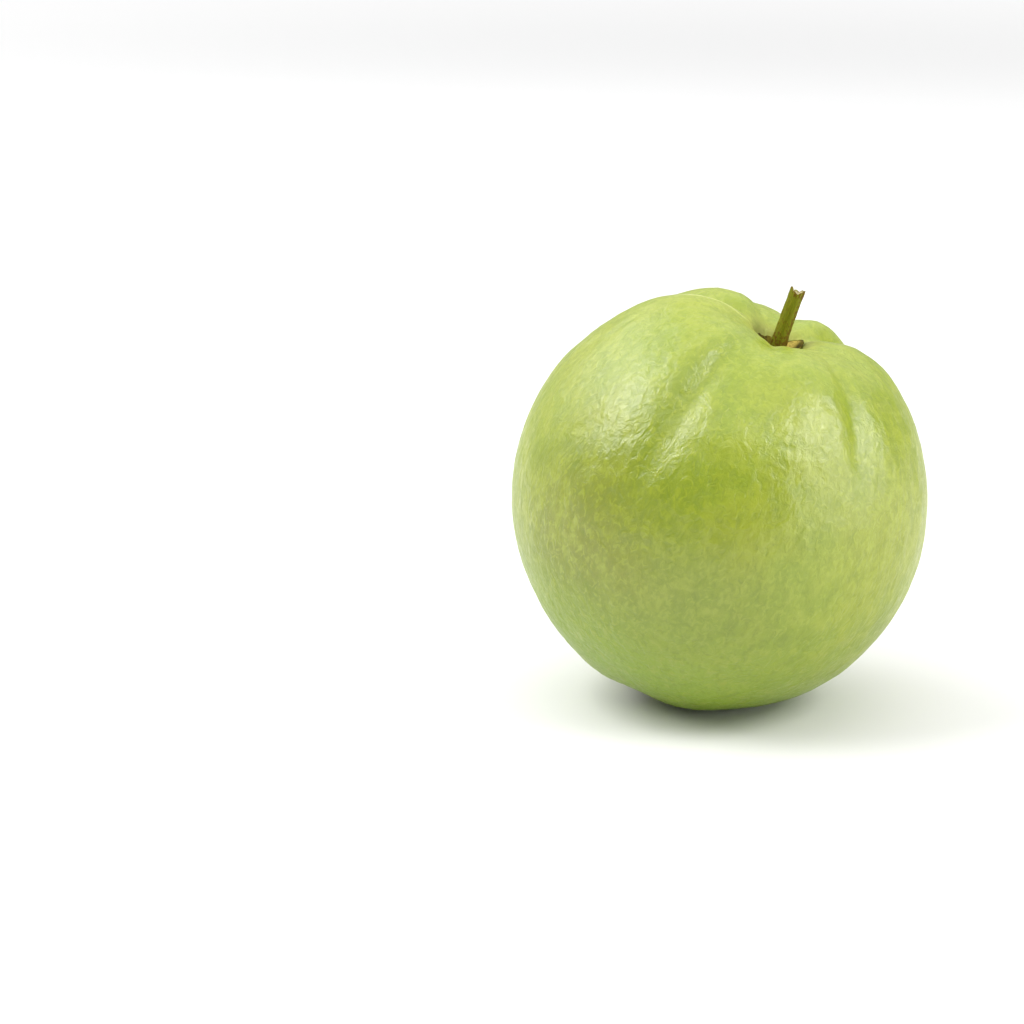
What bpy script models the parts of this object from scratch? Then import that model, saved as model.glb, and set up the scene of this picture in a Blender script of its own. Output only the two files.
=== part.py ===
"""A whole guava with its stem, resting on the side of its blossom end.

Metres, +Z up. The fruit rests on the plane z = 0, below the middle of its box.
Run it with: blender --background --python part.py
"""

import math

import bmesh
import bpy
from mathutils import Euler, Vector, noise

# The flesh. In the fruit's own frame the core is the Z axis and the stem end is up.
FRUIT_RADIUS = 0.0474
STEM_END_SWELL = 0.032  # how much further the stem end reaches, as a share of the radius
SHOULDER_SWELL = 0.008  # fullness of the shoulders, as a share of the radius
BASE_SWELL = 0.002  # the same, towards the blossom end
SEGMENTS = 84
RINGS = 50
RING_CROWDING = 0.74  # rings draw together towards both ends, where the skin bends most

# The hollow at the stem end is a wide funnel with a narrow throat in its middle.
FUNNEL_DEPTH, FUNNEL_WIDTH = 0.0074, 0.0150
THROAT_DEPTH, THROAT_WIDTH = 0.0060, 0.0054
# The hollow at the blossom end is shallow and holds the dried calyx.
BASIN_DEPTH, BASIN_WIDTH = 0.0044, 0.0074

# Grooves between the lobes: (turn round the core, depth, half width, start, full, reach), in
# degrees and metres. Turns go round from +X, and the side that the picture shows is at 270.
# Start, full and reach are degrees down from the stem end.
GROOVES = [
    (244, 0.0016, 6.5, 18, 48, 88),
    (260, 0.0018, 16, 4, 14, 60),
    (308, 0.0013, 6.5, 14, 34, 80),
    (36, 0.0025, 11, 7, 21, 56),
    (82, 0.0009, 9, 7, 21, 60),
    (113, 0.0007, 7, 6, 16, 50),
    (158, 0.0024, 12, 5, 16, 56),
]
GROOVE_FADE = 34  # degrees down, where the fading begins
# Lobes that stand higher than the rest by the stem end: (turn, height, half width, start,
# full, fade, end). The last four are degrees down from the stem end.
LOBES = [
    (128, 0.0021, 20, 6, 18, 32, 66),
    (60, 0.0015, 13, 7, 18, 28, 60),
    (2, 0.0014, 20, 4, 10, 16, 44),
    (190, 0.0019, 21, 3, 9, 30, 64),
]
# Weak ribs round the blossom end.
RIB_COUNT = 5
RIB_HEIGHT = 0.0004
RIB_START, RIB_FULL, RIB_FADE, RIB_END = 120, 158, 164, 178
# The heel is the side of the blossom end that the fruit rests on.
HEEL_DOWN, HEEL_HEIGHT, HEEL_SPREAD = 158, 0.0010, 28
# Uneven growth: (height, lumps to the metre), with none of it inside the throat.
LUMPS = [(0.0008, 22.0), (0.0003, 60.0)]
LUMPS_START, LUMPS_FULL = 4, 18

# How the fruit lies, and the small flat spot that its weight has pressed.
LEAN = math.radians(18.5)
SPOT_DEPTH = 0.0014

# The stem stands in a socket in the floor of the throat, a little to the right of the core.
GAP = 0.0003
STEM_RADIUS = 0.00160
STEM_FLARE = 0.00085  # extra radius at the foot
FLARE_END = 0.62  # the share of its length where the flare has gone
STEM_TOP = 0.0535  # along the core, from the middle of the fruit
STEM_SINK = 0.0016  # how far the foot is sunk below the throat's floor
SOCKET_RISE = 0.004  # how far the cutter of the socket stands above that floor
STEM_SHIFT = 0.0008  # of the foot, sideways
STEM_LEAN = -0.0009  # sideways at the top, before the bend
STEM_BEND = 0.0006  # sideways at the top, by the bend
STEM_SIDES = 24
STEM_RINGS = 12
SQUARENESS = 0.07  # guava twigs are four-sided
# The broken end: (teeth round it, their phase, share of the height).
TORN_HEIGHT = 0.0011
TORN_TEETH = [(2, 0, 0.75), (7, 1, 0.25)]
TORN_EDGE = 0.0002  # the least height of the edge over the last whole ring
TORN_HOLLOW = 0.0006  # how far the end is hollowed inside its edge
TORN_WALL = 0.38  # the share of the radius that the edge takes
PITH_DEPTH = 0.0004  # of the middle of the end, below the last whole ring

# The corky collar round the stem's foot, with one torn flake on its right side.
COLLAR_INNER, COLLAR_OUTER = 3.8, 6.7  # degrees down from the stem end
COLLAR_SHIFT = 0.9  # how much further down the inner edge lies on the stem's side
# Its ragged outer edge, in degrees: (waves round it, their phase, share of the raggedness).
COLLAR_RAGGED = 0.35
COLLAR_WAVES = [(3, 1, 0.5), (8, 0, 0.3), (13, 2, 0.2)]
COLLAR_THICKNESS = 0.0005
COLLAR_TAPER = 0.5  # how much thinner its outer edge is, as a share
COLLAR_SIDES = 48
COLLAR_ROWS = 4
FLAKE_TURN, FLAKE_SPREAD = 31, 22
FLAKE_REACH = 1.5  # further degrees down
FLAKE_LIFT = 0.0003

# The dried calyx: five withered sepals on a short tube.
SEPALS = 5
CALYX_DOWN = 174.4  # degrees from the stem end, where the tube stands on the skin
TUBE_LENGTH = 0.0009
SEPAL_LENGTH = 0.0020
SEPAL_SPLAY = 0.0008
SEPAL_THICKNESS = 0.0007
SEPAL_TAPER = 0.4  # how much thinner a sepal's tip is, as a share
SEPAL_POINT = 0.8  # below 1 the sepals are rounder, above 1 more pointed
CALYX_SIDES = 60
CALYX_ROWS = 5


def bell(distance, width):
    return math.exp(-((distance / width) ** 2))


def plateau(distance, width):
    """Like a bell with a flat top and steeper sides."""
    return math.exp(-((distance / width) ** 4))


def ramp(low, high, value):
    """0 below low, 1 above high, and a smooth rise between them."""
    share = min(1.0, max(0.0, (value - low) / (high - low)))
    return share * share * (3 - 2 * share)


def turn_between(a, b):
    """The smaller angle from b to a, in degrees."""
    return (a - b + 180) % 360 - 180


def direction(down, turn):
    tilt, angle = math.radians(down), math.radians(turn)
    return Vector(
        (math.sin(tilt) * math.cos(angle), math.sin(tilt) * math.sin(angle), math.cos(tilt))
    )


def degrees_apart(down, turn, other_down, other_turn):
    cosine = direction(down, turn).dot(direction(other_down, other_turn))
    return math.degrees(math.acos(max(-1.0, min(1.0, cosine))))


def groove_depth(down, turn):
    return sum(
        depth
        * bell(turn_between(turn, middle), half_width)
        * ramp(start, full, down)
        * (1 - ramp(GROOVE_FADE, reach, down))
        for middle, depth, half_width, start, full, reach in GROOVES
    )


def lobe_height(down, turn):
    return sum(
        height
        * bell(turn_between(turn, middle), half_width)
        * ramp(start, full, down)
        * (1 - ramp(fade, end, down))
        for middle, height, half_width, start, full, fade, end in LOBES
    )


def lump_height(point):
    return sum(height * noise.noise(point * rate) for height, rate in LUMPS)


def skin_point(down, turn):
    """A point of the skin, down degrees from the stem end and turn degrees round the core."""
    tilt, angle = math.radians(down), math.radians(turn)
    swell = SHOULDER_SWELL if down < 90 else BASE_SWELL
    swell *= math.cos(2 * tilt) + math.cos(4 * tilt)
    reach = FRUIT_RADIUS * (1 + STEM_END_SWELL * math.cos(tilt) - swell)
    radius, height = reach * math.sin(tilt), reach * math.cos(tilt)
    if down < 90:
        height -= FUNNEL_DEPTH * bell(radius, FUNNEL_WIDTH)
        height -= THROAT_DEPTH * plateau(radius, THROAT_WIDTH)
    else:
        height += BASIN_DEPTH * plateau(radius, BASIN_WIDTH)
    point = Vector((radius * math.cos(angle), radius * math.sin(angle), height))
    ribs = RIB_HEIGHT * math.cos(RIB_COUNT * angle) * ramp(RIB_START, RIB_FULL, down)
    ribs *= 1 - ramp(RIB_FADE, RIB_END, down)
    heel = HEEL_HEIGHT * bell(degrees_apart(down, turn, HEEL_DOWN, 0), HEEL_SPREAD)
    change = ribs + heel + lump_height(point) * ramp(LUMPS_START, LUMPS_FULL, down)
    change += lobe_height(down, turn) - groove_depth(down, turn)
    return point + point.normalized() * change


def skin_normal(down, turn):
    step = 0.4
    along = skin_point(down + step, turn) - skin_point(down - step, turn)
    across = skin_point(down, turn + step) - skin_point(down, turn - step)
    return along.cross(across).normalized()


def crowded(share):
    """Where ring number share * RINGS lies, in degrees down from the stem end."""
    return 180 * share - 180 * RING_CROWDING * math.sin(2 * math.pi * share) / (2 * math.pi)


def material(name, colour, roughness):
    made = bpy.data.materials.new(name)
    made.use_nodes = True
    shader = made.node_tree.nodes["Principled BSDF"]
    shader.inputs["Base Color"].default_value = (*colour, 1)
    shader.inputs["Roughness"].default_value = roughness
    shader.inputs["Metallic"].default_value = 0
    return made


def object_from(name, mesh_builder, look, parent):
    """Turns a bmesh into a named object with its own material, under the fruit's frame."""
    bmesh.ops.recalc_face_normals(mesh_builder, faces=mesh_builder.faces)
    mesh = bpy.data.meshes.new(name)
    mesh_builder.to_mesh(mesh)
    mesh_builder.free()
    mesh.shade_smooth()
    made = bpy.data.objects.new(name, mesh)
    made.data.materials.append(look)
    made.parent = parent
    bpy.context.scene.collection.objects.link(made)
    return made


def add_rows(builder, rows, joined=False):
    """Quads between closed rings of points, and from the last ring to the first if joined."""
    made = [[builder.verts.new(point) for point in row] for row in rows]
    pairs = list(zip(made, made[1:]))
    if joined:
        pairs.append((made[-1], made[0]))
    for upper, lower in pairs:
        for i in range(len(upper)):
            j = (i + 1) % len(upper)
            builder.faces.new((upper[i], upper[j], lower[j], lower[i]))
    return made


def close_with_point(builder, ring, point):
    tip = builder.verts.new(point)
    for i, corner in enumerate(ring):
        builder.faces.new((corner, ring[(i + 1) % len(ring)], tip))


def lowest_height(points, turned):
    return min((turned @ point).z for point in points)


def press_spot(builder, turned):
    """Cuts the small flat spot below the leaning fruit. Returns its height before the shift."""
    level = lowest_height([v.co for v in builder.verts], turned) + SPOT_DEPTH
    down = turned.inverted() @ Vector((0, 0, -1))
    bmesh.ops.bisect_plane(
        builder,
        geom=builder.verts[:] + builder.edges[:] + builder.faces[:],
        plane_co=turned.inverted() @ Vector((0, 0, level)),
        plane_no=down,
        clear_outer=True,
    )
    rim = [edge for edge in builder.edges if edge.is_boundary]
    bmesh.ops.contextual_create(builder, geom=rim)
    return level


def socket_cutter(parent):
    """The plain hole for the stem's foot, a little wider and deeper than the foot."""
    floor = skin_point(0, 0).z
    radius = STEM_RADIUS + STEM_FLARE + GAP
    depth = STEM_SINK + GAP
    bpy.ops.mesh.primitive_cylinder_add(
        vertices=STEM_SIDES,
        radius=radius,
        depth=depth + SOCKET_RISE,
        location=(STEM_SHIFT, 0, floor + (SOCKET_RISE - depth) / 2),
    )
    cutter = bpy.context.object
    cutter.name = "socket_cutter"
    cutter.parent = parent
    cutter.hide_render = True
    cutter.display_type = "WIRE"
    return cutter


def build_fruit(parent, turned):
    builder = bmesh.new()
    bmesh.ops.create_uvsphere(builder, u_segments=SEGMENTS, v_segments=RINGS, radius=1)
    for vertex in builder.verts:
        x, y, z = vertex.co
        share = math.acos(max(-1.0, min(1.0, z))) / math.pi
        vertex.co = skin_point(crowded(share), math.degrees(math.atan2(y, x)))
    level = press_spot(builder, turned)
    green = material("skin_green", (0.44, 0.53, 0.12), 0.42)
    fruit = object_from("fruit", builder, green, parent)
    socket = fruit.modifiers.new("stem_socket", "BOOLEAN")
    socket.operation = "DIFFERENCE"
    socket.object = socket_cutter(parent)
    return fruit, level


def stem_middle(share):
    """The middle of the stem, sideways, at a share of its length."""
    return STEM_SHIFT + STEM_LEAN * share + STEM_BEND * share * share


def stem_ring(height, foot, narrowing=0.0):
    """One four-sided ring of the stem, at a height along the core."""
    share = (height - foot) / (STEM_TOP - foot)
    radius = STEM_RADIUS + STEM_FLARE * (1 - min(1, share / FLARE_END)) ** 2
    ring = []
    for i in range(STEM_SIDES):
        angle = 2 * math.pi * i / STEM_SIDES
        wide = radius * (1 + SQUARENESS * math.cos(4 * angle)) * (1 - narrowing)
        side = stem_middle(share) + wide * math.cos(angle)
        ring.append(Vector((side, wide * math.sin(angle), height)))
    return ring


def torn(angle):
    """How far the broken edge stands above its dips, with two tall splinters."""
    return TORN_HEIGHT * sum(
        share * (1 + math.cos(teeth * angle + phase)) / 2 for teeth, phase, share in TORN_TEETH
    )


def build_stem(parent):
    foot = skin_point(0, 0).z - STEM_SINK
    dip = STEM_TOP - TORN_HEIGHT
    rows = []
    for i in range(STEM_RINGS + 1):
        height = foot + (dip - foot) * i / STEM_RINGS
        rows.append(stem_ring(height, foot))
    for narrowing, drop in ((0.0, 0.0), (TORN_WALL, TORN_HOLLOW)):
        ring = stem_ring(dip, foot, narrowing)
        for i, point in enumerate(ring):
            point.z += torn(2 * math.pi * i / STEM_SIDES) + TORN_EDGE - drop
        rows.append(ring)
    builder = bmesh.new()
    made = add_rows(builder, rows)
    close_with_point(builder, made[0][::-1], Vector((stem_middle(0), 0, foot)))
    close_with_point(builder, made[-1], Vector((stem_middle(1), 0, dip - PITH_DEPTH)))
    olive = material("stem_olive", (0.20, 0.19, 0.02), 0.6)
    return object_from("stem", builder, olive, parent)


def collar_edge(turn):
    """How far down the ragged outer edge of the collar lies, in degrees."""
    angle = math.radians(turn)
    ragged = sum(share * math.sin(count * angle + phase) for count, phase, share in COLLAR_WAVES)
    flake = FLAKE_REACH * bell(turn_between(turn, FLAKE_TURN), FLAKE_SPREAD)
    return COLLAR_OUTER + COLLAR_RAGGED * ragged + flake


def build_collar(parent):
    below, above = [], []
    for row in range(COLLAR_ROWS + 1):
        share = row / COLLAR_ROWS
        lower, upper = [], []
        for i in range(COLLAR_SIDES):
            turn = 360 * i / COLLAR_SIDES
            inner = COLLAR_INNER + COLLAR_SHIFT * math.cos(math.radians(turn))
            down = inner + (collar_edge(turn) - inner) * share
            flake = bell(turn_between(turn, FLAKE_TURN), FLAKE_SPREAD)
            lift = GAP + FLAKE_LIFT * flake * share**3
            thickness = COLLAR_THICKNESS * (1 - COLLAR_TAPER * share)
            skin, outward = skin_point(down, turn), skin_normal(down, turn)
            lower.append(skin + outward * lift)
            upper.append(skin + outward * (lift + thickness))
        below.append(lower)
        above.append(upper)
    builder = bmesh.new()
    add_rows(builder, below + above[::-1], joined=True)
    cork = material("collar_cork", (0.17, 0.09, 0.03), 0.8)
    return object_from("stem_scar", builder, cork, parent)


def sepal_height(angle):
    """From 0 between two sepals to 1 at a sepal's tip."""
    return abs(math.cos(SEPALS * angle / 2)) ** SEPAL_POINT


def build_calyx(parent):
    outside, inside = [], []
    for row in range(CALYX_ROWS + 1):
        share = row / CALYX_ROWS
        outer, inner = [], []
        for i in range(CALYX_SIDES):
            turn = 360 * i / CALYX_SIDES
            angle = math.radians(turn)
            outward = Vector((math.cos(angle), math.sin(angle), 0))
            foot = skin_point(CALYX_DOWN, turn) - Vector((0, 0, GAP))
            tip = sepal_height(angle)
            reach = (TUBE_LENGTH + SEPAL_LENGTH * tip) * share
            splay = SEPAL_SPLAY * tip * share * share
            thickness = SEPAL_THICKNESS * (1 - SEPAL_TAPER * share)
            point = foot + outward * splay - Vector((0, 0, reach))
            outer.append(point)
            inner.append(point - outward * thickness)
        outside.append(outer)
        inside.append(inner)
    builder = bmesh.new()
    add_rows(builder, outside + inside[::-1], joined=True)
    brown = material("calyx_brown", (0.16, 0.08, 0.03), 0.85)
    return object_from("calyx", builder, brown, parent)


def box_of(objects):
    graph = bpy.context.evaluated_depsgraph_get()
    corners = []
    for item in objects:
        solid = item.evaluated_get(graph)
        corners += [solid.matrix_world @ vertex.co for vertex in solid.data.vertices]
    low = Vector(map(min, zip(*corners)))
    high = Vector(map(max, zip(*corners)))
    return low, high


def clear_scene():
    for item in list(bpy.data.objects):
        bpy.data.objects.remove(item)


def main():
    clear_scene()
    lie = bpy.data.objects.new("fruit_frame", None)
    bpy.context.scene.collection.objects.link(lie)
    lie.rotation_euler = Euler((0, LEAN, 0))
    turned = lie.rotation_euler.to_matrix()
    fruit, level = build_fruit(lie, turned)
    pieces = [fruit, build_stem(lie), build_collar(lie), build_calyx(lie)]
    lie.location.z = -level
    bpy.context.view_layer.update()
    low, high = box_of(pieces)
    lie.location.x -= (low.x + high.x) / 2
    lie.location.y -= (low.y + high.y) / 2


main()
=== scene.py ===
"""The finished look of a whole guava: wrinkled green skin, woody stem, corky collar, dried calyx.

The file is laid out as a Blender add-on and is run as a script. It builds its pieces round the
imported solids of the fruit, in metres with +Z up. In the fruit's own frame the core is the Z axis
and the stem end is up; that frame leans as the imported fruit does.
"""

import math

import bpy
import numpy as np
from bpy.props import FloatProperty, FloatVectorProperty, IntProperty, PointerProperty
from mathutils import Euler, Matrix, Vector, noise


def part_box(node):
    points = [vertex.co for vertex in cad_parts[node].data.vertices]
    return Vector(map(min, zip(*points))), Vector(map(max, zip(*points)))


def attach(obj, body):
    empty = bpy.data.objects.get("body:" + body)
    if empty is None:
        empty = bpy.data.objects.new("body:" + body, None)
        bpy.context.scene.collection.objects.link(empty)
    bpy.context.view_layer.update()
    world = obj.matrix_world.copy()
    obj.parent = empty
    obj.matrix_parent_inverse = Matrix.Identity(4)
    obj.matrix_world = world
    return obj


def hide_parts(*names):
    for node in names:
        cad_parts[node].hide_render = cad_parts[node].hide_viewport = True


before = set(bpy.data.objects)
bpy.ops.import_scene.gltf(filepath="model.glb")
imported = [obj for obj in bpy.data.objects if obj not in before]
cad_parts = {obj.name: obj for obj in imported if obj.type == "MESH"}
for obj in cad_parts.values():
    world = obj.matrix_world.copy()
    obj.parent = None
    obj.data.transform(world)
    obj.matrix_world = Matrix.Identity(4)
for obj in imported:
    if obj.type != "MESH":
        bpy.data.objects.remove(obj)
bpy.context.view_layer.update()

bl_info = {
    "name": "Whole guava",
    "version": (1, 0, 0),
    "blender": (4, 5, 0),
    "location": "3D View > Sidebar > Guava",
    "description": "Builds a whole green guava with its stem, collar and calyx, and a pale studio",
    "category": "Add Mesh",
}

# The flesh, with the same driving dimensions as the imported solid.
FRUIT_RADIUS = 0.0474
STEM_END_SWELL = 0.032
SHOULDER_SWELL = 0.008
BASE_SWELL = 0.002
RING_CROWDING = 0.74
FUNNEL_DEPTH, FUNNEL_WIDTH = 0.0074, 0.0150
THROAT_DEPTH, THROAT_WIDTH = 0.0060, 0.0054
BASIN_DEPTH, BASIN_WIDTH = 0.0044, 0.0074
# Grooves between the lobes: (turn round the core, depth, half width, start, full, reach).
GROOVES = [
    (244, 0.0016, 6.5, 18, 48, 88),
    (260, 0.0018, 16, 4, 14, 60),
    (308, 0.0013, 6.5, 14, 34, 80),
    (36, 0.0025, 11, 7, 21, 56),
    (82, 0.0009, 9, 7, 21, 60),
    (113, 0.0007, 7, 6, 16, 50),
    (158, 0.0024, 12, 5, 16, 56),
]
GROOVE_FADE = 34
# Lobes that stand higher than the rest: (turn, height, half width, start, full, fade, end).
LOBES = [
    (128, 0.0021, 20, 6, 18, 32, 66),
    (60, 0.0015, 13, 7, 18, 28, 60),
    (2, 0.0014, 20, 4, 10, 16, 44),
    (190, 0.0019, 21, 3, 9, 30, 64),
]
RIB_COUNT = 5
RIB_HEIGHT = 0.0004
RIB_START, RIB_FULL, RIB_FADE, RIB_END = 120, 158, 164, 178
HEEL_DOWN, HEEL_HEIGHT, HEEL_SPREAD = 158, 0.0010, 28
LUMPS = [(0.0008, 22.0), (0.0003, 60.0)]
LUMPS_START, LUMPS_FULL = 4, 18
LEAN = math.radians(18.5)
# How finely the skin is measured to find its box: rings, and degrees of turn between points.
BOX_RINGS, BOX_STEP = 121, 3

# Finer relief of the skin: creases in the grooves, written as the lobes are, and dents as
# (height, dents to the metre).
CREASES = [(244, 0.0003, 4, 34, 52, 58, 84), (307, 0.0002, 3.6, 28, 42, 54, 72)]
DENTS = [(0.00016, 110.0), (0.00009, 210.0)]
RIDGE_HEIGHT = 0.00007
RIDGES_PER_METRE = 330.0
RIDGE_WIDTH = 0.22
MERIDIAN_STRETCH = 0.6
STREAK_HEIGHT = 0.00010
STREAKS_ROUND = 11.0
STREAK_LENGTH = 26.0
STREAK_START, STREAK_FULL, STREAK_FADE, STREAK_END = 12, 26, 60, 110
PUCKER_COUNT = 17
PUCKER_HEIGHT = 0.00012
PUCKER_DOWN, PUCKER_SPREAD = 12.5, 5.0
# The sharp crest of the left lobe as (degrees down, turn), from the throat outwards, with a painted
# highlight along it, and the greener strip beside it, which is painted shade on the lobe behind.
CREST = [(8.5, 204), (9.4, 200), (12.7, 194), (16.6, 189), (20.9, 187), (30, 186)]
CREST_START, CREST_FULL, CREST_FADE, CREST_END = 7.5, 13, 25, 34
# The crest's height and width, and how strong its painted highlight is.
CREST_HEIGHT, CREST_WIDTH, CREST_PAINTED_HIGHLIGHT = 0.00014, 1.3, 0.8
# A strip of painted shade beside the crest, on the lobe behind it: its turn from the crest, its
# width and its strength.
SHADE_STRIP_TURN, SHADE_STRIP_WIDTH, STRIP_PAINTED_SHADE = -6, 4.5, 0.8
# Colours of the skin: how far down the throat's olive reaches, the darker green bands of painted
# shade in the grooves (written as the lobes are, with a share for the height), where the green of
# the blossom end begins and is full, and the darker, yellower sides as (degrees down, turn, spread
# in degrees, share): a painted shadow with a painted yellow reflected glow at the lower left, and a
# weaker riper patch on the right.
THROAT_DOWN = 10.5
GROOVE_SHADE_BANDS = [
    (240, 0.75, 5.5, 12, 26, 62, 86),
    (308, 0.5, 4.5, 20, 34, 60, 78),
    (36, 0.6, 9, 8, 20, 30, 50),
    (158, 0.6, 9, 8, 20, 30, 50),
]
GREEN_BASE = 100, 145
RIPE_AND_PAINTED_SHADE_SIDES = [(100, 228, 26, 1.0), (60, 330, 30, 0.5)]
# The skin's noises as (detail, roughness, distortion), and how many fit in a metre.
FOLD_NOISE = (3.0, 0.5, 0.6)
WISP_NOISE = (3.0, 0.6, 0.9)
GRAIN_PER_METRE, PATCHES_PER_METRE, MOTTLE_PER_METRE = 3400.0, 38.0, 210.0
GRAIN_DEPTH = 0.000012
# Where the noises change its colour, as (where that begins, where it is full, least, most).
YELLOW_PATCHES = (0.35, 0.68)
PALE_MOTTLE = (0.44, 0.68, 0.0, 0.6)
DEEP_MOTTLE = (0.46, 0.3, 0.0, 0.45)
DEEP_WISPS = (0.47, 0.34, 0.0, 0.4)
PALE_WISPS = (0.51, 0.66, 0.0, 0.6)
PALE_GRAIN = (0.58, 0.75, 0.0, 0.25)
# How much duller the skin is between the wisps and glossier on them, and duller in the throat.
GLOSS_OF_WISPS = (0.3, 0.7)
DULL_GAPS, GLOSSY_WISPS, DULL_THROAT = 0.06, 0.05, 0.4
# How far light of each colour spreads in the flesh, as shares of a length, and that length.
FLESH_SPREAD, FLESH_DEPTH = (1.0, 0.9, 0.25), 0.003

# The stem.
STEM_RADIUS = 0.00160
STEM_FLARE = 0.00085
FLARE_END = 0.62
STEM_TOP = 0.0535
STEM_SINK = 0.0016
STEM_SHIFT = 0.0008
STEM_LEAN = -0.0009
STEM_BEND = 0.0006
SQUARENESS = 0.07
TORN_HEIGHT = 0.0011
TORN_TEETH = [(2, 0, 0.75), (7, 1, 0.25)]
TORN_EDGE = 0.0002
TORN_HOLLOW = 0.0006
TORN_WALL = 0.38
# Rings of the torn end as (share of the radius inwards, drop), and how pale each one is.
TORN_RINGS = [(0.0, 0.0), (0.12, 0.00005), (TORN_WALL, TORN_HOLLOW), (0.7, 0.0009)]
TORN_PALENESS = [0.0, 0.35, 1.0, 1.0]
PITH_DEPTH = 0.0004
FIBRES = [(5, 0.00006), (13, 0.00003), (29, 0.000018)]
KNOT_HEIGHT, KNOTS_PER_METRE = 0.00010, 620.0
# How much lower the splinters are towards the middle of the torn end, as a share.
SPLINTER_FALL = 0.6
# The brown of the bark by the foot as (share, where it fades, where it ends), a browner strip down
# one side as (turn, spread, share), and the brown at the torn end as (share, where it begins).
BROWN_FOOT = 0.46, 0.3, 0.75
BROWN_SIDE = 340, 26, 0.6
BROWN_END = 0.5, 0.93
FIBRE_STRETCH, FIBRES_PER_METRE, FIBRE_DEPTH = 0.12, 5200.0, 0.00008
SPECKS_PER_METRE, SPECK_DEPTH = 1500.0, 0.00006
# Where its colours change, as (where that begins, where it is full).
LIGHT_FIBRES = (0.35, 0.7)
BROWN_SPECKS = (0.34, 0.66)
BROWN_BARK = (0.75, 1.3)
PALE_TORN = (0.2, 0.9)
STEM_ROUGHNESS = 0.7

# The corky collar.
GAP = 0.0003
COLLAR_INNER, COLLAR_OUTER = 3.8, 6.7
COLLAR_SHIFT = 0.9
COLLAR_RAGGED = 0.35
COLLAR_WAVES = [(3, 1, 0.5), (8, 0, 0.3), (13, 2, 0.2)]
COLLAR_THICKNESS = 0.0005
COLLAR_TAPER = 0.5
FLAKE_TURN, FLAKE_SPREAD = 31, 22
FLAKE_REACH = 1.5
FLAKE_LIFT = 0.0003
# Where it is pale: the turn and spread, and shares of the way out where that begins, is full and
# gives way to the dark tip.
FLAKE_PALE_TURN, FLAKE_PALE_SPREAD = 46, 26
FLAKE_PALE_START, FLAKE_PALE_FULL, FLAKE_TIP = 0.1, 0.4, 0.9
# The finest teeth of its outer edge as (degrees, waves round it, swells of those waves), and its
# grain as (height, bumps to the metre).
COLLAR_TEETH = 0.05, 31, 5
COLLAR_GRAIN = [(0.00005, 1100.0), (0.00002, 3100.0)]
COLLAR_PATCHES_PER_METRE = 900.0

# The dried calyx.
SEPALS = 5
CALYX_DOWN = 174.4
TUBE_LENGTH = 0.0009
SEPAL_LENGTH = 0.0020
SEPAL_SPLAY = 0.0008
SEPAL_THICKNESS = 0.0007
SEPAL_TAPER = 0.4
SEPAL_POINT = 0.8
CALYX_GRAIN, CALYX_GRAIN_PER_METRE = 0.00012, 1100.0
CALYX_PATCHES_PER_METRE = 700.0
CALYX_EDGE = 0.7

# Dried tissue. The cracks are finer than its patches by a factor.
DRY_ROUGHNESS, DRY_SHINE = 0.85, 0.15
DRY_PATCH_DEPTH = 0.0002
CRACK_FINENESS, CRACK_DEPTH = 2.2, 0.0001
LIGHT_PATCHES = (0.35, 0.65)
PALE_EDGE = (0.3, 1.0)
DARK_CRACKS = (0.46, 0.34, 0.0, 0.7)

# The picture that the camera matches.
PICTURE_PIXELS = 1024
METRES_PER_PIXEL = 0.0002286
FRUIT_PIXEL = (717, 505)
SENSOR_WIDTH = 36.0

# The pale floor, the room and the lights.
FLOOR_REACH = 6.0
FLOOR_SHADES_PER_METRE, FLOOR_DIMMING = 3.0, 0.985
FLOOR_ROUGHNESS, FLOOR_SHINE = 0.9, 0.1
# The rings of the floor over which its own light grows, as distances from the fruit.
GLOW_RINGS = [(0.45, 1.2), (0.9, 1.4)]
# The upward part of a direction, where the room's horizon ends and where its upper part begins.
HORIZON_RISE = (0.08, 0.25)
# Softboxes as (name, azimuth, height, angular width, angular height), in degrees as the fruit
# sees them. Azimuth 0 is the camera's side, and +90 the picture's right.
SOFTBOX_DISTANCE = 0.9
SOFTBOXES = [
    ("left", -74, 46, 28, 34),
    ("left_back", -112, 38, 52, 52),
    ("right", 63, 40, 20, 24),
    ("right_side", 88, 36, 14, 28),
    ("right_low", 70, 10, 60, 18),
    ("overhead", 0, 88, 70, 70),
    ("back", 180, 42, 90, 50),
    ("front", 0, 50, 50, 40),
]


def bell(distance, width):
    return np.exp(-((distance / width) ** 2))


def plateau(distance, width):
    """Like a bell with a flat top and steeper sides."""
    return np.exp(-((distance / width) ** 4))


def ramp(low, high, value):
    """0 below low, 1 above high, and a smooth rise between them."""
    share = np.clip((value - low) / (high - low), 0.0, 1.0)
    return share * share * (3 - 2 * share)


def turn_between(a, b):
    """The smaller angle from b to a, in degrees."""
    return (a - b + 180) % 360 - 180


def direction(down, turn):
    tilt, angle = np.radians(down), np.radians(turn)
    return np.stack(
        [np.sin(tilt) * np.cos(angle), np.sin(tilt) * np.sin(angle), np.cos(tilt)], axis=-1
    )


def degrees_apart(down, turn, other_down, other_turn):
    cosine = direction(down, turn) @ direction(other_down, other_turn)
    return np.degrees(np.arccos(np.clip(cosine, -1, 1)))


def noise_at(points, per_metre):
    """Smooth noise between -1 and 1 at each point."""
    flat = [noise.noise(Vector(point) * per_metre) for point in points.reshape(-1, 3)]
    return np.array(flat).reshape(points.shape[:-1])


def groove_depth(down, turn):
    return sum(
        depth
        * bell(turn_between(turn, middle), half_width)
        * ramp(start, full, down)
        * (1 - ramp(GROOVE_FADE, reach, down))
        for middle, depth, half_width, start, full, reach in GROOVES
    )


def swell_height(swells, down, turn):
    return sum(
        height
        * bell(turn_between(turn, middle), half_width)
        * ramp(start, full, down)
        * (1 - ramp(fade, end, down))
        for middle, height, half_width, start, full, fade, end in swells
    )


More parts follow.
